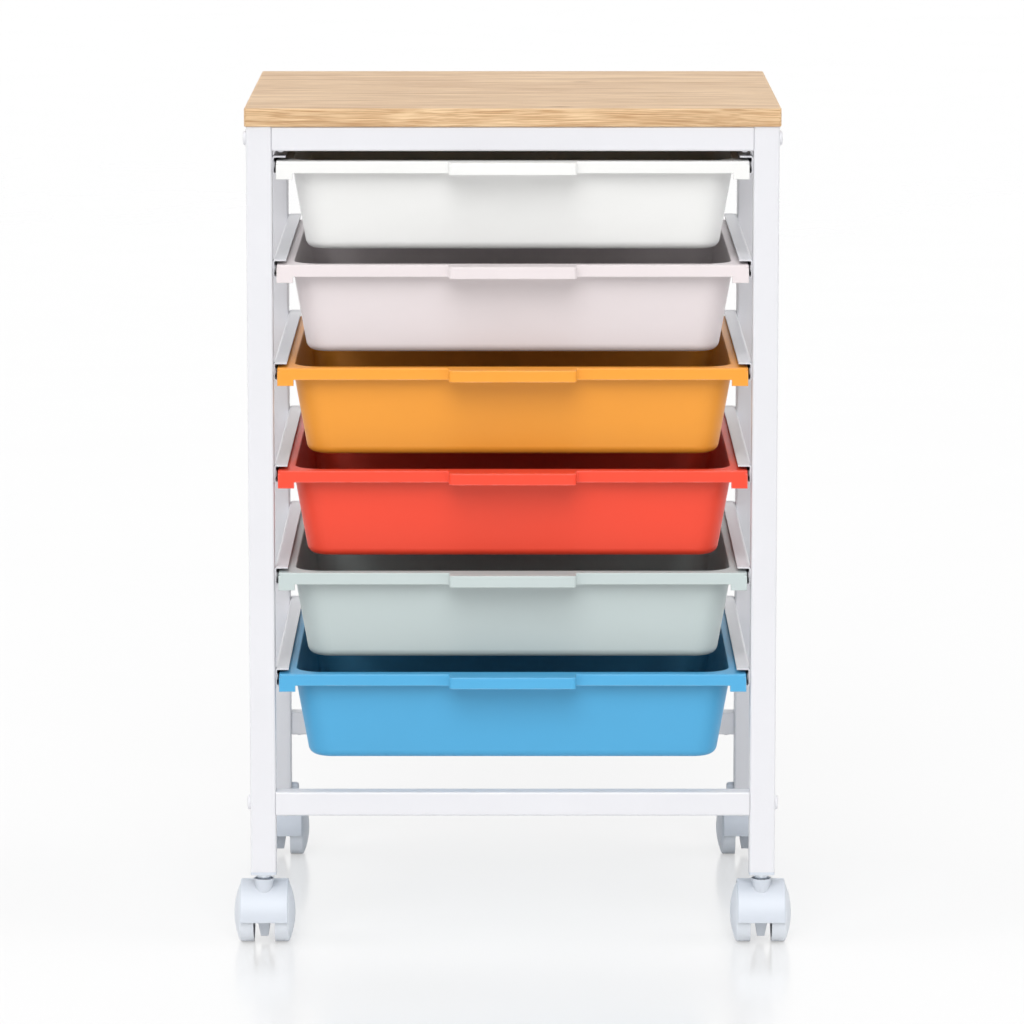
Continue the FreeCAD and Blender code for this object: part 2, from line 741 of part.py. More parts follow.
def make_axle(end, side):
    """The steel axle through a caster's web, with a wheel on each end."""
    body = new_body(f"caster_axle_{end}_{side}")
    half = size.web_thickness / 2 + size.axle_reach
    section = new_sketch(body, "axle_section", "YZ_Plane", -half)
    add_circle(section, size.caster_trail, size.wheel_radius, size.axle_radius)
    pad(body, section, half * 2)
    place_caster(body, end, side)
    return body


def make_wheel(end, side, flank):
    """One of a caster's twin wheels: a hollow moulded rim with a hub on the axle and a domed outer face."""
    body = new_body(f"wheel_{end}_{side}_{flank}")
    outward = SIDES[flank]
    web_face = size.web_thickness / 2
    tread_end = size.wheel_inner_face + size.wheel_tread_width
    disc_face = (tread_end - size.wheel_shell) * outward
    hub_end = (web_face + size.side_play) * outward
    bore_end = (web_face + size.axle_reach + size.side_play) * outward
    inner_face = size.wheel_inner_face * outward
    bore = size.axle_radius + size.running_fit
    hub = bore + size.wheel_hub_wall
    profile = new_sketch(body, "wheel_profile", "XY_Plane")
    add_domed_profile(profile, outward, [
        ((tread_end + size.wheel_dome) * outward, 0),
        (bore_end, 0),
        (bore_end, bore),
        (hub_end, bore),
        (hub_end, hub),
        (disc_face, hub),
        (disc_face, size.wheel_radius - size.wheel_shell),
        (inner_face, size.wheel_radius - size.wheel_shell),
        (inner_face, size.wheel_radius),
        ((tread_end - size.wheel_edge) * outward, size.wheel_radius),
        (tread_end * outward, size.wheel_radius - size.wheel_edge),
    ])
    revolve(body, profile, "H_Axis")
    place(body, leg_x * SIDES[side], frame_middle + leg_y * ENDS[end] + size.caster_trail, size.wheel_radius)
    return body


def add_domed_profile(sketch, outward, path):
    """Draw a wheel's half section: straight runs along the path, closed by an arc centred on the axle line."""
    lines = []
    for start, stop in zip(path, path[1:]):
        line = sketch.addGeometry(Part.LineSegment(flat(*start), flat(*stop)))
        if lines:
            hold(sketch, "Coincident", lines[-1], END, line, START)
        else:
            pin(sketch, line, START, *start)
        pin(sketch, line, END, *stop)
        lines.append(line)
    apex, shoulder = flat(*path[0]), flat(*path[-1])
    rise = abs(apex.x - shoulder.x)
    radius = (shoulder.y ** 2 + rise ** 2) / (2 * rise)
    centre = apex - FreeCAD.Vector(radius * outward, 0, 0)
    first, last = (apex, shoulder) if outward > 0 else (shoulder, apex)
    at_apex, at_shoulder = (START, END) if outward > 0 else (END, START)
    arc = add_arc(sketch, centre, radius, first, last)
    hold(sketch, "Coincident", arc, at_apex, lines[0], START)
    hold(sketch, "Coincident", arc, at_shoulder, lines[-1], END)
    hold(sketch, "PointOnObject", arc, CENTRE, HORIZONTAL_AXIS)


def fastener(name, shank_radius, shank_length, head_radius, head_edge, head_crown):
    """A headed fastener along +Z, its rounded head below the face at Z = 0."""
    body = new_body(name)
    head = -(head_edge + head_crown)
    turned_piece(body, name + "_profile", [
        (head, 0),
        (head, head_radius, head_crown),
        (0, head_radius),
        (0, shank_radius),
        (shank_length, shank_radius),
        (shank_length, 0),
    ])
    return body


def group(label, pieces):
    """One sub-part that holds several separate solids."""
    bundle = doc.addObject("Part::Compound", label)
    bundle.Label = label
    bundle.Links = pieces
    return bundle


def crossbar_ends():
    """Every end of every crossbar: its name, front or rear, bar bottom and side."""
    for end in ENDS:
        for name, bottom in CROSSBARS.items():
            for side in SIDES:
                yield f"{end}_{name}_{side}", ENDS[end], bottom, SIDES[side]


def make_bolts():
    """Button-head bolts through the legs into the crossbars' ends."""
    bolts = []
    for name, end, bottom, side in crossbar_ends():
        bolt = fastener(f"bolt_{name}", size.bolt_radius, size.leg_size + size.bolt_reach,
                        size.bolt_head_radius, size.bolt_head_edge, size.bolt_head_crown)
        turn(bolt, DEPTHWISE, -QUARTER_TURN * side)
        place(bolt, frame_width / 2 * side, frame_middle + bar_y * end, bottom + size.bar_height / 2)
        bolts.append(bolt)
    return group("crossbar_bolts", bolts)


def make_inserts():
    """Threaded plugs in the crossbars' ends that take the bolts and are locked from below."""
    inserts = []
    for name, end, bottom, side in crossbar_ends():
        insert = new_body(f"insert_{name}")
        section = new_sketch(insert, f"insert_section_{name}", "YZ_Plane")
        gap = size.bar_wall * 2 + size.insert_clearance * 2
        add_outline(section, centred_rectangle(size.bar_depth - gap, size.bar_height - gap, size.bar_inner_radius))
        add_circle(section, 0, 0, size.bolt_radius + size.fastener_fit)
        pad(insert, section, size.insert_length, reverse=side > 0)
        hole = new_sketch(insert, f"insert_screw_hole_{name}", "XY_Plane", -size.bar_height / 2)
        add_circle(hole, size.lock_screw_inset * -side, 0, size.lock_screw_radius + size.fastener_fit)
        cut(insert, hole, size.bar_wall + size.lock_screw_bite + size.fastener_fit, reverse=True)
        place(insert, clear_width / 2 * side, frame_middle + bar_y * end, bottom + size.bar_height / 2)
        inserts.append(insert)
    return group("crossbar_inserts", inserts)


def make_lock_screws():
    """Dome-head screws under the crossbars that hold the inserts."""
    screws = []
    for name, end, bottom, side in crossbar_ends():
        screw = fastener(f"lock_screw_{name}", size.lock_screw_radius, size.bar_wall + size.lock_screw_bite,
                         size.lock_screw_head_radius, size.lock_screw_head_edge, size.lock_screw_head_crown)
        place(screw, (clear_width / 2 - size.lock_screw_inset) * side, frame_middle + bar_y * end, bottom)
        screws.append(screw)
    return group("insert_screws", screws)


def make_rivets():
    """Flat rivets that hold the runners to the legs."""
    rivets = []
    for side_name, side in SIDES.items():
        for end_name, end in ENDS.items():
            for level in range(DRAWER_COUNT):
                rivet = fastener(f"rivet_{side_name}_{end_name}_{level + 1}", size.rivet_radius,
                                 size.runner_sheet + size.leg_wall + size.rivet_tail,
                                 size.rivet_head_radius, size.rivet_head_edge, size.rivet_head_crown)
                turn(rivet, DEPTHWISE, QUARTER_TURN * side)
                place(rivet, (clear_width / 2 - size.runner_sheet) * side, frame_middle + leg_y * end,
                      runner_middle(level))
                rivets.append(rivet)
    return group("runner_rivets", rivets)


def make_board_screws():
    """Pan-head screws up through the side rails' upper walls into the board."""
    screws = []
    for side_name, side in SIDES.items():
        for end_name, end in ENDS.items():
            screw = fastener(f"board_screw_{side_name}_{end_name}", size.board_screw_radius,
                             size.leg_wall + size.board_screw_bite, size.board_screw_head_radius,
                             size.board_screw_head_edge, size.board_screw_head_crown)
            place(screw, leg_x * side, frame_middle + size.board_screw_spacing / 2 * end,
                  board_bottom - size.leg_wall)
            screws.append(screw)
    return group("board_screws", screws)


def make_caster(end, side):
    """A caster with its socket: the plug, the hood, the stem, the axle and two wheels."""
    caster = [make_socket(end, side), make_hood(end, side), make_stem(end, side), make_axle(end, side)]
    for flank in SIDES:
        caster.append(make_wheel(end, side, flank))
    return caster


def make_cart():
    """Every sub-part of the cart, from the top down."""
    cart = [make_board(), make_edge_band(), make_board_screws()]
    for end in ENDS:
        for name in CROSSBARS:
            cart.append(make_crossbar(end, name))
    cart += [make_inserts(), make_lock_screws(), make_bolts()]
    for side in SIDES:
        cart.append(make_side_rail(side))
        for end in ENDS:
            cart.append(make_leg(end, side))
        for level in range(DRAWER_COUNT):
            cart.append(make_runner(side, level))
    cart.append(make_rivets())
    for level in range(DRAWER_COUNT):
        cart.append(make_drawer(level))
    for end in ENDS:
        for side in SIDES:
            cart += make_caster(end, side)
    return cart


sub_parts = make_cart()
doc.recompute()
failed = [item.Name for item in doc.Objects if "Invalid" in item.State or "Error" in item.State]
if failed:
    raise RuntimeError("failed: " + ", ".join(failed))
for sub_part in sub_parts:
    shape = sub_part.Shape
    if shape.isNull() or not shape.isValid() or not shape.Solids:
        raise RuntimeError(f"{sub_part.Label} has no valid solid")

os.makedirs("parts", exist_ok=True)
for sub_part in sub_parts:
    sub_part.Shape.exportStep(f"parts/{sub_part.Label}.step")
print(f"{len(sub_parts)} sub-parts")
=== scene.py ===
import json
import math
from collections import namedtuple

import bpy
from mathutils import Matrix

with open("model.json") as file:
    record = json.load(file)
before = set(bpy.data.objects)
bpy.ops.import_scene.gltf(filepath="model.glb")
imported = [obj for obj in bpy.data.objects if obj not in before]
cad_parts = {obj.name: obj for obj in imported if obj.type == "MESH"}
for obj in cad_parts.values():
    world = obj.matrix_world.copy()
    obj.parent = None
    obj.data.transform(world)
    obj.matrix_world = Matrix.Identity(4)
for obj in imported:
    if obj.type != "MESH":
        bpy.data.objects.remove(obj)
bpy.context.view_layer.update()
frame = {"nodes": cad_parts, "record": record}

# Camera, from the photograph's standpoint in front of the cart and a little above its top
CAMERA_DISTANCE = 4.5
CAMERA_HEIGHT = 1.018
CAMERA_PITCH = 9.0
IMAGE_SIDE = 1024
FOCAL_PIXELS = 5914
FRAMING_SHIFT = (-0.0007, -0.0026)
SENSOR_WIDTH = 36.0

# Lamps: tilt from overhead, turn from straight in front and spread are in degrees
Lamp = namedtuple("Lamp", "level tilt turn spread")
LAMPS = {
    "front_lamp": Lamp(1.82, 52, -4, 45),
    "top_lamp": Lamp(0.5, 0, 0, 60),
    "left_lamp": Lamp(0.75, 55, -78, 40),
    "right_lamp": Lamp(0.75, 55, 78, 40),
    "rear_lamp": Lamp(0.75, 75, 180, 45),
}
# A lamp whose own image the board and the floor do not show
UNREFLECTED_LAMP = "rear_lamp"
SKY_LEVEL = 0.12
WHITE = (1, 1, 1, 1)

# Floor
FLOOR_SIDE = 60
FLOOR_WHITE = (250, 250, 250)
FLOOR_GLOW = 0.65
FLOOR_REFRACTION = 1.38
FLOOR_MOTTLE = 3
FLOOR_ROUGHNESS = (0.15, 0.2)

# Plastic colours are held back in the light that they throw on to each other and on to the floor
BOUNCE_SHARE = 0.75
BOUNCE_LEVEL = 0.7
LUMINANCE = (0.2126, 0.7152, 0.0722)

# Finishes, as display colours of the photograph's own pieces
WHITE_COAT = (233, 233, 237)
OAK_LIGHT = (235, 205, 166)
OAK_DARK = (183, 142, 102)
BAND_LIGHT = (242, 209, 166)
BAND_DARK = (200, 157, 113)
LINE_BROWN = (178, 137, 96)
PORE_BROWN = (168, 128, 84)
KNOT_BROWN = (160, 116, 76)
PALE_CASTER = (215, 221, 230)
PALE_WHEEL = (228, 233, 240)
ZINC = (222, 227, 233)
DRAWER_COLOURS = {
    "drawer_1": (246, 246, 244),
    "drawer_2": (237, 227, 228),
    "drawer_3": (252, 165, 55),
    "drawer_4": (252, 76, 50),
    "drawer_5": (199, 211, 210),
    "drawer_6": (82, 175, 224),
}

# Skins: depth of the fine relief, radius of the arrises and width of the rubbed edge, in metres,
# and how far the rubbing shows
Skin = namedtuple("Skin", "relief arris rub_width rub_share")
COAT_SKIN = Skin(0.00005, 0.0006, 0.0009, 0.16)
OAK_SKIN = Skin(0.00006, 0.0007, 0.0016, 0.25)
ZINC_SKIN = Skin(0.00002, 0.0004, 0.0006, 0.4)
HOOD_SKIN = Skin(0.00003, 0.0006, 0.0012, 0.22)
SOCKET_SKIN = Skin(0.00003, 0.0004, 0.0008, 0.22)
DRAWER_SKIN = Skin(0.00003, 0.0008, 0.0016, 0.22)
RUBBED_COAT = (205, 207, 212)
RUBBED_OAK = (247, 224, 184)
RUBBED_PLASTIC = (255, 253, 250)

# Darkest and lightest tones of each even finish, as factors of its colour
COAT_TONES = (0.97, 1.015)
PLASTIC_TONES = (0.955, 1.03)
ZINC_TONES = (0.85, 1.05)

# Roughness and shine
COAT_ROUGHNESS = (0.34, 0.44)
OAK_ROUGHNESS = (0.58, 0.44)
ZINC_ROUGHNESS = (0.26, 0.4)
HOOD_ROUGHNESS = 0.36
SOCKET_ROUGHNESS = 0.38
DRAWER_ROUGHNESS = 0.4
WHEEL_ROUGHNESS = 0.42
PLASTIC_SMOOTHER = 0.05
PLASTIC_ROUGHER = 0.06
PLASTIC_BURNISH = 0.1
PLASTIC_SHINE = 0.42
OAK_SHINE = 0.35

# Textures: repeats are for each metre along, across and through a piece
NOISE_SPAN = (0.3, 0.7)
MOULDING_GRAIN = 1500.0
MOULDING_FLOW = (9, 9, 22)
POWDER_PEEL = 620.0
POWDER_CLOUDS = 14
TURNING_MARKS = (300, 300, 2600)

# Edge rub: how far the rounded face turns from the flat one, and the patches that break the rub up
RUB_WIDTH = 0.0008
RUB_STARTS = 0.985
RUB_FULL = 0.85
RUB_PATCHES = 90
RUB_SPAN = (0.35, 0.7)
RUB_LEAST = 0.25
BEVEL_SAMPLES = 4

# Layers of the oak's figure, each with the span of its noise that shows
Layer = namedtuple("Layer", "repeats detail roughness low high strength")
OAK_BANDS = Layer((5, 45, 120), 5, 0.6, 0.32, 0.68, 1)
OAK_STREAKS = Layer((11, 300, 300), 3, 0.5, 0.35, 0.65, 1)
OAK_STRANDS = Layer((30, 1250, 1250), 3, 0.5, 0.4, 0.6, 1)
OAK_LINES = Layer((7, 75, 130), 4, 0.5, 0.52, 0.66, 0.8)
OAK_PORES = Layer((40, 1900, 1900), 1, 0.5, 0.6, 0.72, 1)
PORE_SHARE = 0.35
BAND_SHARE = 0.45
STREAK_SHARE = 0.55
FIGURE_SPAN = (0.12, 0.88)
OAK_HEIGHT_SPAN = (-0.4, 0.8)
SWAY_REPEATS = (3.5, 9, 9)
SWAY_WIDTH = 0.014
KNOT_REPEATS = (9, 13, 40)
KNOT_EDGE = 0.1
KNOT_HEART = 0.02
KNOT_STRENGTH = 0.75
BOARD_FINENESS = 0.35
BAND_FINENESS = 0.6
# How squarely a face looks sideways before its grain is turned
SIDE_FACING = 0.7

# A mix node's share, first and second inputs, and its output, by kind
MIX_SOCKETS = {"RGBA": ((0, 6, 7), 2), "VECTOR": ((0, 4, 5), 1)}


def linear(display):
    """A display colour of 0 to 255 as the linear colour that the shaders take."""
    channels = []
    for level in display:
        share = level / 255
        channels.append(share / 12.92 if share <= 0.04045 else ((share + 0.055) / 1.055) ** 2.4)
    return (*channels, 1)


def bounced_grey(colour):
    """The neutral tone that stands in for a linear colour in light thrown on to neighbouring pieces."""
    level = BOUNCE_LEVEL * sum(weight * channel for weight, channel in zip(LUMINANCE, colour))
    return (level, level, level, 1)


def tones(colour, factors):
    """A linear colour made darker and lighter."""
    return [(*(min(1, channel * factor) for channel in colour[:3]), 1) for factor in factors]


def feed(tree, socket, value):
    """Link a socket to another node's output, or set it to a plain value."""
    if isinstance(value, bpy.types.NodeSocket):
        tree.links.new(value, socket)
    else:
        socket.default_value = value


def feed_all(tree, sockets, values):
    for socket, value in zip(sockets, values):
        feed(tree, socket, value)


def add_node(tree, kind, settings=None, **inputs):
    """Add a shader node, set its options, and set or link its inputs by socket name."""
    made = tree.nodes.new(kind)
    for name, value in (settings or {}).items():
        setattr(made, name, value)
    for name, value in inputs.items():
        feed(tree, made.inputs[name.replace("_", " ")], value)
    return made


def combine(tree, operation, first, second):
    """One sum of two values."""
    made = add_node(tree, "ShaderNodeMath", {"operation": operation})
    feed_all(tree, made.inputs, (first, second))
    return made.outputs[0]


def times(tree, first, second):
    return combine(tree, "MULTIPLY", first, second)


def combine_vectors(tree, operation, first, second):
    """One sum of two vectors."""
    made = add_node(tree, "ShaderNodeVectorMath", {"operation": operation})
    feed_all(tree, made.inputs, (first, second))
    return made.outputs


def blend(tree, kind, share, first, second):
    """A mix of two colours or two vectors by a share."""
    made = add_node(tree, "ShaderNodeMix", {"data_type": kind})
    places, result = MIX_SOCKETS[kind]
    feed_all(tree, [made.inputs[place] for place in places], (share, first, second))
    return made.outputs[result]


def blend_colours(tree, share, first, second):
    return blend(tree, "RGBA", share, first, second)


def blend_shaders(tree, share, first, second):
    """A mix of two shaders by a share."""
    made = tree.nodes.new("ShaderNodeMixShader")
    feed_all(tree, made.inputs, (share, first, second))
    return made.outputs[0]


def spread(tree, value, low, high, to_low, to_high):
    """A value moved from one range to another and held inside it."""
    made = add_node(tree, "ShaderNodeMapRange", Value=value, From_Min=low, From_Max=high,
                    To_Min=to_low, To_Max=to_high)
    return made.outputs["Result"]


def noise(tree, place, scale, detail, roughness=0.5):
    return add_node(tree, "ShaderNodeTexNoise", Vector=place, Scale=scale, Detail=detail,
                    Roughness=roughness).outputs["Fac"]


def stretch(tree, place, repeats):
    return add_node(tree, "ShaderNodeMapping", Vector=place, Scale=repeats).outputs["Vector"]


def stretched_noise(tree, place, repeats, detail, roughness=0.5):
    """Noise drawn out along a piece."""
    return noise(tree, stretch(tree, place, repeats), 1, detail, roughness)


def layer_noise(tree, place, layer):
    return stretched_noise(tree, place, layer.repeats, layer.detail, layer.roughness)


def show_layer(tree, value, layer):
    return spread(tree, value, layer.low, layer.high, 0, layer.strength)


def object_place(tree):
    return tree.nodes.new("ShaderNodeTexCoord").outputs["Object"]


def face_normal(tree):
    return tree.nodes.new("ShaderNodeNewGeometry").outputs["Normal"]


def rounded_normal(tree, radius):
    return add_node(tree, "ShaderNodeBevel", {"samples": BEVEL_SAMPLES}, Radius=radius).outputs["Normal"]


def new_group(name, inputs, outputs):
    """An empty shader node group with named sockets, and its inner input and output nodes."""
    group = bpy.data.node_groups.new(name, "ShaderNodeTree")
    for label, kind, value in inputs:
        socket = group.interface.new_socket(label, in_out="INPUT", socket_type=kind)
        socket.default_value = value
    for label, kind in outputs:
        group.interface.new_socket(label, in_out="OUTPUT", socket_type=kind)
    return group, group.nodes.new("NodeGroupInput"), group.nodes.new("NodeGroupOutput")


def make_edge_rub():
    """Where handling has rubbed the arrises: a mask that is broken up along each edge."""
    group, given, result = new_group("edge_rub", [
        ("Width", "NodeSocketFloat", RUB_WIDTH),
    ], [("Mask", "NodeSocketFloat")])
    rounded = rounded_normal(group, given.outputs["Width"])
    turned = combine_vectors(group, "DOT_PRODUCT", face_normal(group), rounded)["Value"]
    edge = spread(group, turned, RUB_STARTS, RUB_FULL, 0, 1)
    patches = noise(group, object_place(group), RUB_PATCHES, 3)
    breaks = spread(group, patches, *RUB_SPAN, RUB_LEAST, 1)
    feed(group, result.inputs["Mask"], times(group, edge, breaks))
    return group


def make_moulding_grain():
    """The fine spark-eroded grain and slow flow marks of an injection moulding."""
    group, given, result = new_group("moulding_grain", [
        ("Grain", "NodeSocketFloat", MOULDING_GRAIN),
    ], [("Height", "NodeSocketFloat"), ("Flow", "NodeSocketFloat")])
    place = object_place(group)
    feed(group, result.inputs["Height"], noise(group, place, given.outputs["Grain"], 2))
    feed(group, result.inputs["Flow"], stretched_noise(group, place, MOULDING_FLOW, 4, 0.55))
    return group


def make_powder_texture():
    """The orange-peel skin and speckle of a sprayed powder coat."""
    group, given, result = new_group("powder_texture", [
        ("Peel", "NodeSocketFloat", POWDER_PEEL),
    ], [("Height", "NodeSocketFloat"), ("Cloud", "NodeSocketFloat")])
    place = object_place(group)
    feed(group, result.inputs["Height"], noise(group, place, given.outputs["Peel"], 3))
    feed(group, result.inputs["Cloud"], noise(group, place, POWDER_CLOUDS, 3))
    return group


def along_grain(tree):
    """Object coordinates whose first axis follows the grain, along the board and round its edges."""
    place = add_node(tree, "ShaderNodeSeparateXYZ", Vector=object_place(tree))
    facing = add_node(tree, "ShaderNodeSeparateXYZ", Vector=face_normal(tree))
    across, deep, high = (place.outputs[axis] for axis in "XYZ")
    straight = add_node(tree, "ShaderNodeCombineXYZ", X=across, Y=deep, Z=high)
    turned = add_node(tree, "ShaderNodeCombineXYZ", X=deep, Y=across, Z=high)
    sideways = combine(tree, "ABSOLUTE", facing.outputs["X"], 0)
    on_side = combine(tree, "GREATER_THAN", sideways, SIDE_FACING)
    return blend(tree, "VECTOR", on_side, straight.outputs["Vector"], turned.outputs["Vector"])


def make_oak_figure():
    """Oak cut along the grain: broad bands, fine fibres, dark pores and a few small knots."""
    group, given, result = new_group("oak_figure", [
        ("Light", "NodeSocketColor", WHITE),
        ("Dark", "NodeSocketColor", WHITE),
        ("Fineness", "NodeSocketFloat", 0.5),
    ], [("Colour", "NodeSocketColor"), ("Height", "NodeSocketFloat")])
    fineness = given.outputs["Fineness"]
    coarseness = combine(group, "SUBTRACT", 1, fineness)
    place = along_grain(group)

    sway = times(group, stretched_noise(group, place, SWAY_REPEATS, 2), SWAY_WIDTH)
    shift = add_node(group, "ShaderNodeCombineXYZ", Y=sway, Z=sway).outputs["Vector"]
    swayed = combine_vectors(group, "ADD", place, shift)["Vector"]

    fibres = layer_noise(group, swayed, OAK_STRANDS)
    strands = show_layer(group, fibres, OAK_STRANDS)
    bands, streaks, lines, pores = (
        show_layer(group, layer_noise(group, swayed, layer), layer)
        for layer in (OAK_BANDS, OAK_STREAKS, OAK_LINES, OAK_PORES)
    )
    knots = add_node(group, "ShaderNodeTexVoronoi", Vector=stretch(group, place, KNOT_REPEATS), Scale=1)
    knot = spread(group, knots.outputs["Distance"], KNOT_EDGE, KNOT_HEART, 0, KNOT_STRENGTH)

    broad = combine(group, "ADD", times(group, bands, BAND_SHARE), times(group, streaks, STREAK_SHARE))
    figure = combine(group, "ADD", times(group, strands, fineness), times(group, broad, coarseness))
    shade = spread(group, figure, *FIGURE_SPAN, 0, 1)
    base = blend_colours(group, shade, given.outputs["Light"], given.outputs["Dark"])
    lined = blend_colours(group, times(group, lines, coarseness), base, linear(LINE_BROWN))
    pored = blend_colours(group, times(group, pores, PORE_SHARE), lined, linear(PORE_BROWN))
    feed(group, result.inputs["Colour"], blend_colours(group, knot, pored, linear(KNOT_BROWN)))
    feed(group, result.inputs["Height"], combine(group, "SUBTRACT", fibres, pores))
    return group


GROUPS = {make.__name__: make() for make in (make_edge_rub, make_moulding_grain, make_powder_texture,
                                            make_oak_figure)}


def new_finish(name):
    """A material with an empty tree, its main shader and its output."""
    finish = bpy.data.materials.new(name)
    finish.use_nodes = True
    tree = finish.node_tree
    tree.nodes.clear()
    shader = tree.nodes.new("ShaderNodeBsdfPrincipled")
    tree.links.new(shader.outputs[0], tree.nodes.new("ShaderNodeOutputMaterial").inputs["Surface"])
    return finish, tree, shader


def use_group(tree, maker, **inputs):
    return add_node(tree, "ShaderNodeGroup", {"node_tree": GROUPS[maker.__name__]}, **inputs).outputs


def edge_rub(tree, skin):
    return use_group(tree, make_edge_rub, Width=skin.rub_width)["Mask"]


def soften(tree, shader, height, skin):
    """Round the arrises in the shading and lay a fine relief over them."""
    relief = add_node(tree, "ShaderNodeBump", Strength=1.0, Distance=skin.relief, Height=height,
                      Normal=rounded_normal(tree, skin.arris))
    feed(tree, shader.inputs["Normal"], relief.outputs["Normal"])


def moulded_plastic(name, display, roughness, skin):
    """Satin injection-moulded plastic with burnished, slightly paler arrises."""
    finish, tree, shader = new_finish(name)
    colour = linear(display)
    grain = use_group(tree, make_moulding_grain, Grain=MOULDING_GRAIN)
    rub = edge_rub(tree, skin)
    body = blend_colours(tree, grain["Flow"], *tones(colour, PLASTIC_TONES))
    rubbed = blend_colours(tree, times(tree, rub, skin.rub_share), body, linear(RUBBED_PLASTIC))
    bounced = tree.nodes.new("ShaderNodeLightPath").outputs["Is Diffuse Ray"]
    shown = blend_colours(tree, times(tree, bounced, BOUNCE_SHARE), rubbed, bounced_grey(colour))
    feed(tree, shader.inputs["Base Color"], shown)
    matt = spread(tree, grain["Flow"], *NOISE_SPAN, roughness - PLASTIC_SMOOTHER, roughness + PLASTIC_ROUGHER)
    burnished = combine(tree, "SUBTRACT", matt, times(tree, rub, PLASTIC_BURNISH))
    feed(tree, shader.inputs["Roughness"], burnished)
    shader.inputs["Specular IOR Level"].default_value = PLASTIC_SHINE
    soften(tree, shader, grain["Height"], skin)
    return finish


def powder_coat(name, display, skin):
    """White powder coat on steel, a little thinner and greyer along the arrises."""
    finish, tree, shader = new_finish(name)
    texture = use_group(tree, make_powder_texture, Peel=POWDER_PEEL)
    body = blend_colours(tree, texture["Cloud"], *tones(linear(display), COAT_TONES))
    worn = times(tree, edge_rub(tree, skin), skin.rub_share)
    feed(tree, shader.inputs["Base Color"], blend_colours(tree, worn, body, linear(RUBBED_COAT)))
    feed(tree, shader.inputs["Roughness"], spread(tree, texture["Cloud"], *NOISE_SPAN, *COAT_ROUGHNESS))
    soften(tree, shader, texture["Height"], skin)
    return finish


def oak(name, light, dark, fineness, skin):
    """Clear-finished oak with open grain."""
    finish, tree, shader = new_finish(name)
    figure = use_group(tree, make_oak_figure, Light=linear(light), Dark=linear(dark), Fineness=fineness)
    worn = times(tree, edge_rub(tree, skin), skin.rub_share)
    shown = blend_colours(tree, worn, figure["Colour"], linear(RUBBED_OAK))
    feed(tree, shader.inputs["Base Color"], shown)
    feed(tree, shader.inputs["Roughness"], spread(tree, figure["Height"], *OAK_HEIGHT_SPAN, *OAK_ROUGHNESS))
    shader.inputs["Specular IOR Level"].default_value = OAK_SHINE
    soften(tree, shader, figure["Height"], skin)
    return finish


def zinc_plate(name, display, skin):
    """Zinc-plated turned steel with fine cross marks."""
    finish, tree, shader = new_finish(name)
    marks = stretched_noise(tree, object_place(tree), TURNING_MARKS, 2)
    body = blend_colours(tree, marks, *tones(linear(display), ZINC_TONES))
    worn = times(tree, edge_rub(tree, skin), skin.rub_share)
    feed(tree, shader.inputs["Base Color"], blend_colours(tree, worn, body, WHITE))
    feed(tree, shader.inputs["Roughness"], spread(tree, marks, *NOISE_SPAN, *ZINC_ROUGHNESS))
    shader.inputs["Metallic"].default_value = 1.0
    soften(tree, shader, marks, skin)
    return finish


def dress_cart():
    """Give every node the finish of its own slot."""
    finishes = {
        "board": oak("oak_board", OAK_LIGHT, OAK_DARK, BOARD_FINENESS, OAK_SKIN),
        "board_edge": oak("oak_edge_band", BAND_LIGHT, BAND_DARK, BAND_FINENESS, OAK_SKIN),
        "white_metal": powder_coat("white_powder_coat", WHITE_COAT, COAT_SKIN),
        "caster_plastic": moulded_plastic("caster_hood_plastic", PALE_CASTER, HOOD_ROUGHNESS, HOOD_SKIN),
        "wheel_plastic": moulded_plastic("caster_wheel_plastic", PALE_WHEEL, WHEEL_ROUGHNESS, HOOD_SKIN),
        "socket_plastic": moulded_plastic("caster_socket_plastic", PALE_CASTER, SOCKET_ROUGHNESS, SOCKET_SKIN),
        "steel": zinc_plate("zinc_plated_steel", ZINC, ZINC_SKIN),
    }
    for slot, display in DRAWER_COLOURS.items():
        finishes[slot] = moulded_plastic(slot + "_plastic", display, DRAWER_ROUGHNESS, DRAWER_SKIN)
    for part in frame["record"]["subparts"]:
        mesh = frame["nodes"][part["node"]].data
        mesh.materials.clear()
        mesh.materials.append(finishes[part["material_slot"]])


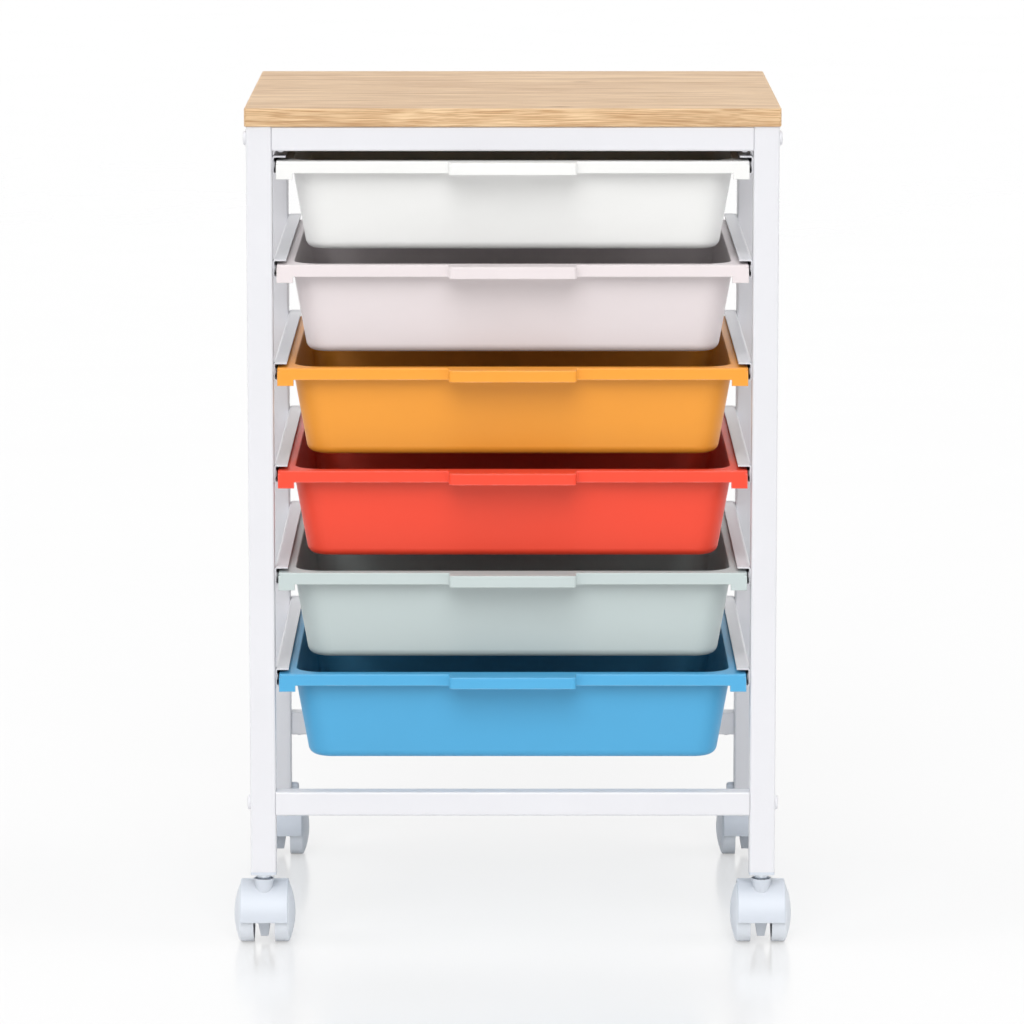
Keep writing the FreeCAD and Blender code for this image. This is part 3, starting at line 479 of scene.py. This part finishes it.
def make_floor():
    """A wide white floor with a faint sheen, which keeps the cart's shadow."""
    half = FLOOR_SIDE / 2
    corners = [(-half, -half, 0), (half, -half, 0), (half, half, 0), (-half, half, 0)]
    mesh = bpy.data.meshes.new("studio_floor")
    mesh.from_pydata(corners, [], [(0, 1, 2, 3)])
    floor = bpy.data.objects.new("studio_floor", mesh)
    bpy.context.scene.collection.objects.link(floor)
    finish, tree, shader = new_finish("studio_floor_white")
    mottle = noise(tree, object_place(tree), FLOOR_MOTTLE, 2)
    dulling = spread(tree, mottle, *NOISE_SPAN, *FLOOR_ROUGHNESS)
    shader.inputs["Base Color"].default_value = linear(FLOOR_WHITE)
    feed(tree, shader.inputs["Roughness"], dulling)
    glow = add_node(tree, "ShaderNodeEmission", Color=WHITE, Strength=1.0)
    sheen = add_node(tree, "ShaderNodeBsdfAnisotropic", Color=WHITE, Roughness=dulling)
    glancing = add_node(tree, "ShaderNodeFresnel", IOR=FLOOR_REFRACTION)
    polished = blend_shaders(tree, glancing.outputs[0], glow.outputs[0], sheen.outputs[0])
    seen = tree.nodes.new("ShaderNodeLightPath").outputs["Is Camera Ray"]
    surface = blend_shaders(tree, times(tree, seen, FLOOR_GLOW), shader.outputs[0], polished)
    feed(tree, tree.nodes["Material Output"].inputs["Surface"], surface)
    mesh.materials.append(finish)


def make_sky():
    """An even white surround that lights the cart at a plain level and shows as white behind it."""
    world = bpy.data.worlds.new("studio_surround")
    world.use_nodes = True
    tree = world.node_tree
    tree.nodes.clear()
    rays = tree.nodes.new("ShaderNodeLightPath").outputs
    mirrored = combine(tree, "MAXIMUM", rays["Is Glossy Ray"], rays["Is Transmission Ray"])
    seen = combine(tree, "MAXIMUM", rays["Is Camera Ray"], mirrored)
    lit = add_node(tree, "ShaderNodeBackground", Color=WHITE, Strength=SKY_LEVEL)
    shown = add_node(tree, "ShaderNodeBackground", Color=WHITE, Strength=1.0)
    surface = blend_shaders(tree, seen, lit.outputs[0], shown.outputs[0])
    feed(tree, tree.nodes.new("ShaderNodeOutputWorld").inputs["Surface"], surface)
    bpy.context.scene.world = world


def make_lamps():
    """A broad soft lamp in front, and weaker ones overhead, behind and to each side."""
    for name, lamp in LAMPS.items():
        light = bpy.data.lights.new(name, "SUN")
        light.energy = lamp.level
        light.angle = math.radians(lamp.spread)
        stand = bpy.data.objects.new(name, light)
        stand.rotation_euler = (math.radians(lamp.tilt), 0, math.radians(lamp.turn))
        stand.visible_glossy = name != UNREFLECTED_LAMP
        bpy.context.scene.collection.objects.link(stand)


def make_camera():
    view = bpy.data.cameras.new("front_camera")
    view.sensor_width = SENSOR_WIDTH
    view.lens = FOCAL_PIXELS / IMAGE_SIDE * SENSOR_WIDTH
    view.shift_x, view.shift_y = FRAMING_SHIFT
    camera = bpy.data.objects.new("front_camera", view)
    camera.location = (0, -CAMERA_DISTANCE, CAMERA_HEIGHT)
    camera.rotation_euler = (math.radians(90 - CAMERA_PITCH), 0, 0)
    bpy.context.scene.collection.objects.link(camera)
    bpy.context.scene.camera = camera


make_camera()
make_sky()
make_lamps()
make_floor()
dress_cart()
bpy.context.scene.view_settings.view_transform = "Standard"
